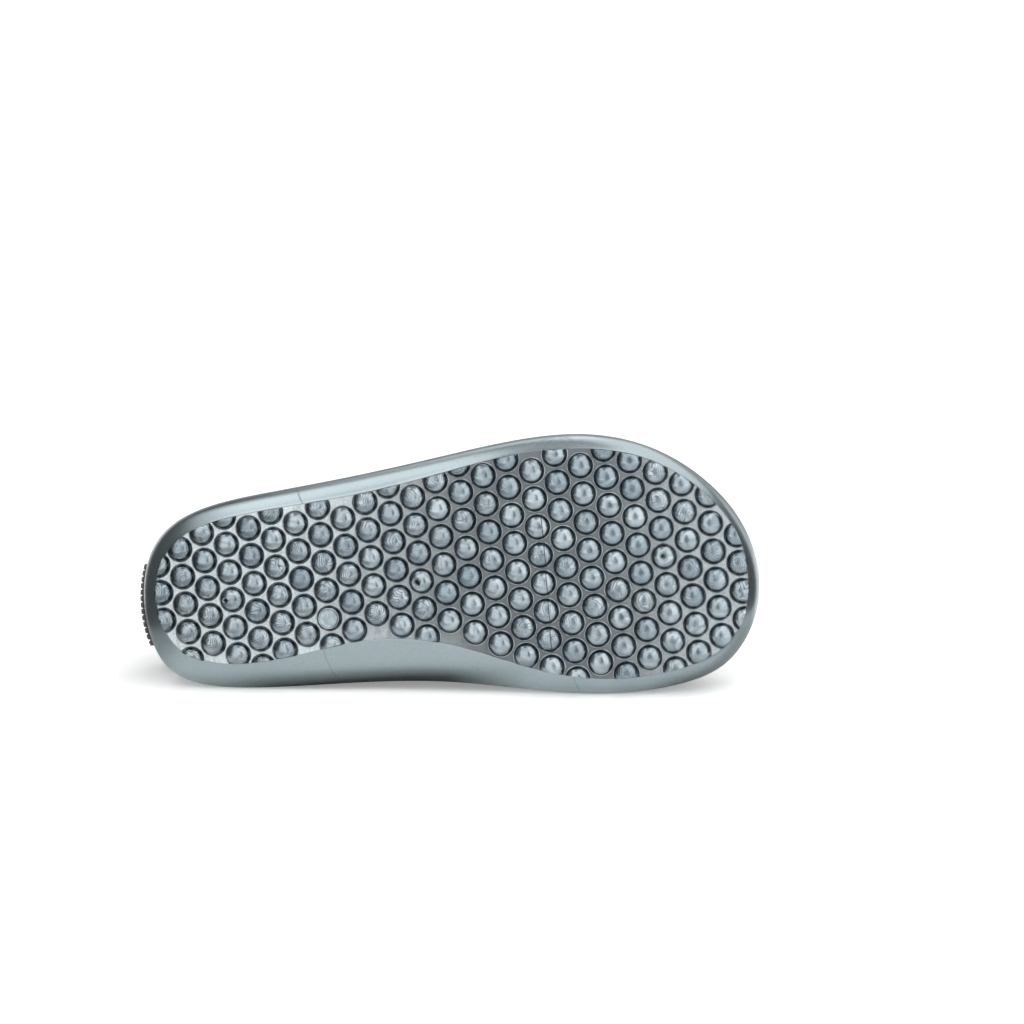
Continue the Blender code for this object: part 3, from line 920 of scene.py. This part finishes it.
def build_heel_tab():
    """Rounded ribs side by side up the back of the heel, on one thin strip."""
    made = Builder()
    heel = np.linspace(-0.75, 0.75, 601)
    line = shell(heel, 0.3)
    along = np.insert(np.cumsum(np.linalg.norm(np.diff(line, axis=0), axis=1)), 0, 0)
    per_rib = 10
    columns = per_rib * TAB_RIBS + 1
    rib = np.arange(columns) / per_rib
    turn = np.interp(np.interp(0, heel, along) + (rib - TAB_RIBS / 2) * TAB_PITCH, along, heel)
    high = np.clip(np.abs(np.sin(rib * math.pi)) * 1.7, 0, 1) ** 0.8
    levels = np.linspace(TAB_FROM, TAB_TO, 36)
    ends = np.clip(np.minimum(levels - TAB_FROM, TAB_TO - levels) / TAB_END, 0, 1)
    rings = []
    for t, end in zip(levels, ends):
        face, out = shell(turn, t), normals(shell, turn, t)
        lift = GAP + (TAB_THICK + high * TAB_RIB) * (0.55 + 0.45 * math.sqrt(end))
        rings.append(np.vstack([face + out * lift[:, None], (face + out * GAP)[::-1]]))
    made.grid(rings, 0, [np.zeros((2 * columns, 2)) for _ in rings])
    faces = [[k, k + 1, 2 * columns - 2 - k, 2 * columns - 1 - k] for k in range(columns - 1)]
    for ring in (rings[0], rings[-1]):
        made.add(ring, faces, 0)
    return made.make("heel_tab_ribs", [rib_rubber()])


# The pieces


def dress(piece, node):
    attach(piece, "root")
    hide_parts(node)


dress(build_outsole(), "outsole")
dress(build_upper(), "upper")
dress(build_insole(), "insole")
dress(build_heel_tab(), "heel_tab")


# Floor and backdrop


def stage_white():
    """White floor that turns into a backdrop, glowing as painted light: faintly near the shoe, brighter
    further off.
    """
    n = Nodes("stage_white")
    where = n.place()
    base = n.mix(n.noise(where, 3.0, 2.0), STAGE_DIM, STAGE_PALE)
    n.shader.inputs["Emission Color"].default_value = (1, 1, 1, 1)
    # Painted light: the stage glows, which lightens the floor near the shoe a little and the backdrop
    # fully.
    glow = n.smooth(n.length(where), 0.3, 1.1, 0.25, 0.9)
    n.join(glow, n.shader.inputs["Emission Strength"])
    return n.finish(base, 0.9, Specular_IOR_Level=0.0)


def build_stage():
    """A pale floor that sweeps up into a backdrop behind the shoe."""
    bm = bmesh.new()
    wide, front, bend, round_by, rise = 6.0, -6.0, 1.1, 0.5, 0.75
    line = [(front, 0.0), (bend, 0.0)]
    for angle in np.linspace(0, math.pi / 2, 12)[1:]:
        line.append((bend + round_by * math.sin(angle), round_by - round_by * math.cos(angle)))
    line.append((bend + round_by, rise))
    rows = [[bm.verts.new((side * wide, y, z)) for side in (-1, 1)] for y, z in line]
    for low, high in zip(rows, rows[1:]):
        bm.faces.new([low[0], low[1], high[1], high[0]])
    mesh = bpy.data.meshes.new("stage_sweep")
    bm.to_mesh(mesh)
    bm.free()
    mesh.polygons.foreach_set("use_smooth", [True] * len(mesh.polygons))
    mesh.materials.append(stage_white())
    linked("stage_sweep", mesh)


build_stage()


# Camera


# The camera's own axes in the foot frame, the point in the middle of the picture and the distance to it.
CAMERA_RIGHT = Vector((0.98650627, 0.10452488, 0.12601556))
CAMERA_DOWN = Vector((-0.09998685, 0.99410901, -0.0418319))
CAMERA_AHEAD = Vector((-0.12964568, 0.02866753, 0.99114589))
CAMERA_AIM = Vector((118.6, -17.12, 0.0))
CAMERA_AWAY = 793.3
SENSOR_WIDTH = 36
FOCAL_PIXELS = 2625.25
PICTURE_PIXELS = 1024


def build_camera():
    lens = bpy.data.cameras.new("camera")
    lens.lens = FOCAL_PIXELS * SENSOR_WIDTH / PICTURE_PIXELS
    lens.sensor_width = SENSOR_WIDTH
    lens.clip_start = 0.01
    made = linked("camera", lens)
    axes = Matrix((CAMERA_RIGHT, -CAMERA_DOWN, -CAMERA_AHEAD)).transposed().to_4x4()
    stand = (CAMERA_AIM - CAMERA_AHEAD * CAMERA_AWAY) * MM
    made.matrix_world = POSE @ Matrix.Translation(stand) @ axes
    bpy.context.scene.camera = made
    return made


camera = build_camera()


# Lights


# Area lights that face the shoe. right, up and toward are the camera's own directions, sizes are metres.
LIT_POINT = Vector((0.0, -0.02, 0.04))
SoftBox = namedtuple("SoftBox", "name right up toward away wide high power")
SOFT_BOXES = [
    SoftBox("right_box", 0.55, 0.34, 0.77, 0.9, 0.9, 1.3, 6.9),
    SoftBox("left_box", -0.36, 0.29, 0.88, 0.9, 0.7, 1.1, 3.9),
    SoftBox("left_side_box", -0.83, 0.34, 0.44, 0.9, 0.45, 0.8, 0.4),
    SoftBox("top_box", 0.21, 0.88, 0.42, 0.9, 0.57, 0.35, 1.1),
    SoftBox("zenith_box", -0.15, 0.97, 0.2, 0.9, 0.7, 0.35, 0.36),
    SoftBox("top_left_box", -0.54, 0.84, 0.10, 0.9, 0.9, 0.36, 1.0),
    SoftBox("left_strip", -0.44, 0.88, 0.18, 0.9, 0.52, 0.2, 0.6),
    SoftBox("top_right_box", 0.42, 0.85, -0.25, 0.9, 0.95, 0.8, 3.8),
    SoftBox("back_box", -0.08, 0.83, -0.52, 0.5, 0.26, 0.2, 0.22),
]


def add_light(box, view_turn):
    light = bpy.data.lights.new(box.name, "AREA")
    light.shape = "RECTANGLE"
    light.size, light.size_y = box.wide, box.high
    light.energy = box.power
    made = linked(box.name, light)
    way = (view_turn @ Vector((box.right, box.up, box.toward))).normalized()
    made.location = LIT_POINT + way * box.away
    made.rotation_euler = (-way).to_track_quat("-Z", "Y").to_euler()


for box in SOFT_BOXES:
    add_light(box, camera.matrix_world.to_3x3())


# Dark cards that only reflections see, painted shade in the reflections: lying ones stand for shadow on the
# floor round the shoe, standing ones for dark surroundings. Columns: grey tone, whether they lie on the
# floor, and two end lines in metres.
EndLine = namedtuple("EndLine", "x_from y_from x_to y_to z")
Card = namedtuple("Card", "name tone lying foot top")
CARDS = [
    Card(
        "left_card", 0.02, False,
        EndLine(-0.13, -0.12, -0.13, 0.035, 0.004), EndLine(-0.46, -0.34, -0.46, 0.26, 0.48),
    ),
    Card(
        "right_card", 0.02, False,
        EndLine(0.15, -0.06, 0.15, 0.06, 0.004), EndLine(0.42, 0.02, 0.42, 0.42, 0.36),
    ),
    Card(
        "back_card", 0.25, False,
        EndLine(-0.55, 0.62, 0.55, 0.62, 0.0), EndLine(-0.6, 0.7, 0.6, 0.7, 0.5),
    ),
    Card(
        "under_card", 0.02, True,
        EndLine(-0.078, -0.033, -0.078, 0.06, 0.0004), EndLine(0.03, -0.043, 0.03, 0.06, 0.0004),
    ),
    Card(
        "toe_card", 0.5, True,
        EndLine(0.05, -0.032, 0.05, 0.05, 0.0006), EndLine(0.16, -0.032, 0.16, 0.05, 0.0006),
    ),
    Card(
        "left_floor_card", 0.45, True,
        EndLine(-0.45, -0.25, -0.45, 0.02, 0.0008), EndLine(0.03, -0.3, 0.03, -0.075, 0.0008),
    ),
    Card(
        "heel_card", 0.45, True,
        EndLine(-0.19, -0.09, -0.19, 0.09, 0.0006), EndLine(-0.085, -0.07, -0.085, 0.07, 0.0006),
    ),
]


def card_grey(name, tone):
    """Dull grey that lets through what its mesh's mark says."""
    n = Nodes(name)
    n.join(n.split(n.mark())[0], n.shader.inputs["Alpha"])
    return n.finish(n.mix(n.noise(n.place(), 4.0), (tone,) * 3, (tone + 0.01,) * 3), 0.9)


def add_card(card):
    """A card that only gloss reflects, painted shade in the reflections, and that fades out to its edges.
    """
    count = 17
    shares = np.linspace(0, 1, count)
    across, along = (grid.ravel()[:, None] for grid in np.meshgrid(shares, shares))
    ends = []
    for line in (card.foot, card.top):
        start, end = np.array([line.x_from, line.y_from, line.z]), np.array([line.x_to, line.y_to, line.z])
        ends.append(start * (1 - across) + end * across)
    points = ends[0] + (ends[1] - ends[0]) * along
    corners = [r * count + c for r in range(count - 1) for c in range(count - 1)]
    faces = [[k, k + 1, k + count + 1, k + count] for k in corners]
    if card.lying:
        fade = np.clip(np.sin(math.pi * across) * 3.0, 0, 1) * np.clip(np.sin(math.pi * along) * 1.4, 0, 1)
    else:
        fade = np.clip(np.sin(math.pi * across) * 1.4, 0, 1) * np.cos(math.pi / 2 * along**2)
    mesh = bpy.data.meshes.new(card.name)
    mesh.from_pydata(points.tolist(), [], faces)
    marks = mesh.attributes.new("mark", "FLOAT_VECTOR", "POINT")
    marks.data.foreach_set("vector", np.repeat(fade, 3))
    mesh.materials.append(card_grey(card.name, card.tone))
    made = linked(card.name, mesh)
    made.visible_camera = False
    made.visible_diffuse = False
    made.visible_shadow = False


for card in CARDS:
    add_card(card)


def build_sky():
    """A dim room all round, white where the camera looks past the stage."""
    world = bpy.data.worlds.new("studio")
    world.use_nodes = True
    tree = world.node_tree
    dim = tree.nodes["Background"]
    dim.inputs["Color"].default_value = (*SKY_BLUE, 1)
    dim.inputs["Strength"].default_value = 0.1
    white = tree.nodes.new("ShaderNodeBackground")
    white.inputs["Color"].default_value = (1, 1, 1, 1)
    either = tree.nodes.new("ShaderNodeMixShader")
    seen = tree.nodes.new("ShaderNodeLightPath").outputs["Is Camera Ray"]
    for source, socket in zip((seen, dim.outputs[0], white.outputs[0]), either.inputs):
        tree.links.new(source, socket)
    tree.links.new(either.outputs[0], tree.nodes["World Output"].inputs[0])
    bpy.context.scene.world = world


build_sky()
bpy.context.scene.view_settings.view_transform = "Standard"
bpy.context.scene.view_settings.look = "None"
